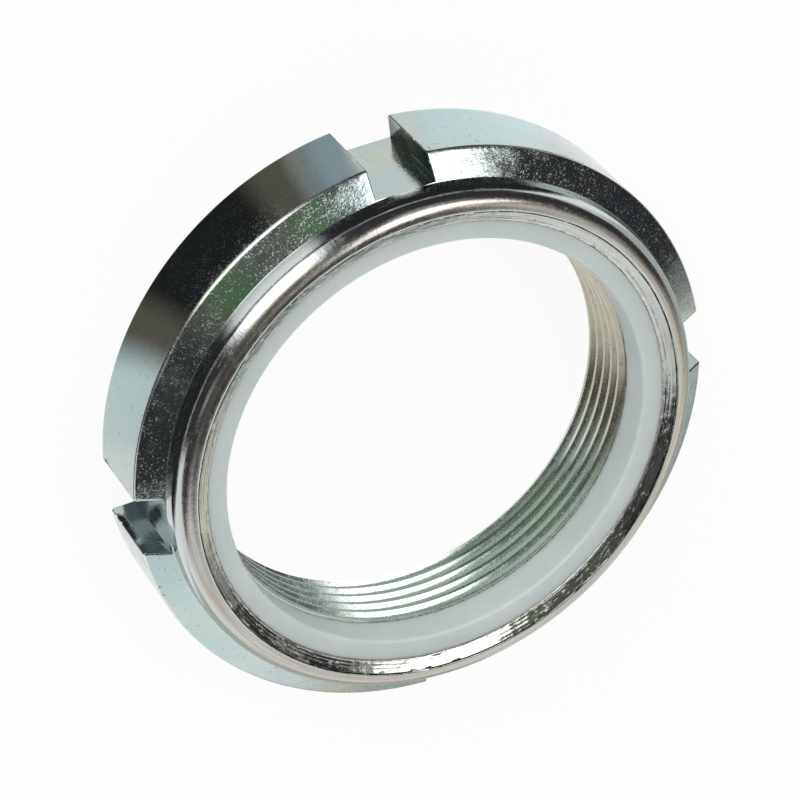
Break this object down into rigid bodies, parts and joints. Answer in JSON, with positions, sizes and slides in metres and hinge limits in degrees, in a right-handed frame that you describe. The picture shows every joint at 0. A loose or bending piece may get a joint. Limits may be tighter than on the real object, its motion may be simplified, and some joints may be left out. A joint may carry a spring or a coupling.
{
  "type": "self-locking slotted round nut",
  "caption": "Slotted round nut with a chamfered rim, spanner slots and a rolled collar that traps a plastic locking ring above the thread.",
  "frame": {"origin": "centre of the thread at the back face, which the nut lies on", "axes": "+Z along the thread axis towards the rolled collar; +X and +Y through spanner slots"},
  "size_m": [0.0796, 0.0796, 0.017],
  "materials": {
    "zinc_plate": "bright zinc plate",
    "polyamide": "milky satin"
  },
  "bodies": {
    "root": {"nut_body": "zinc_plate", "locking_ring": "polyamide"}
  },
  "joints": []
}
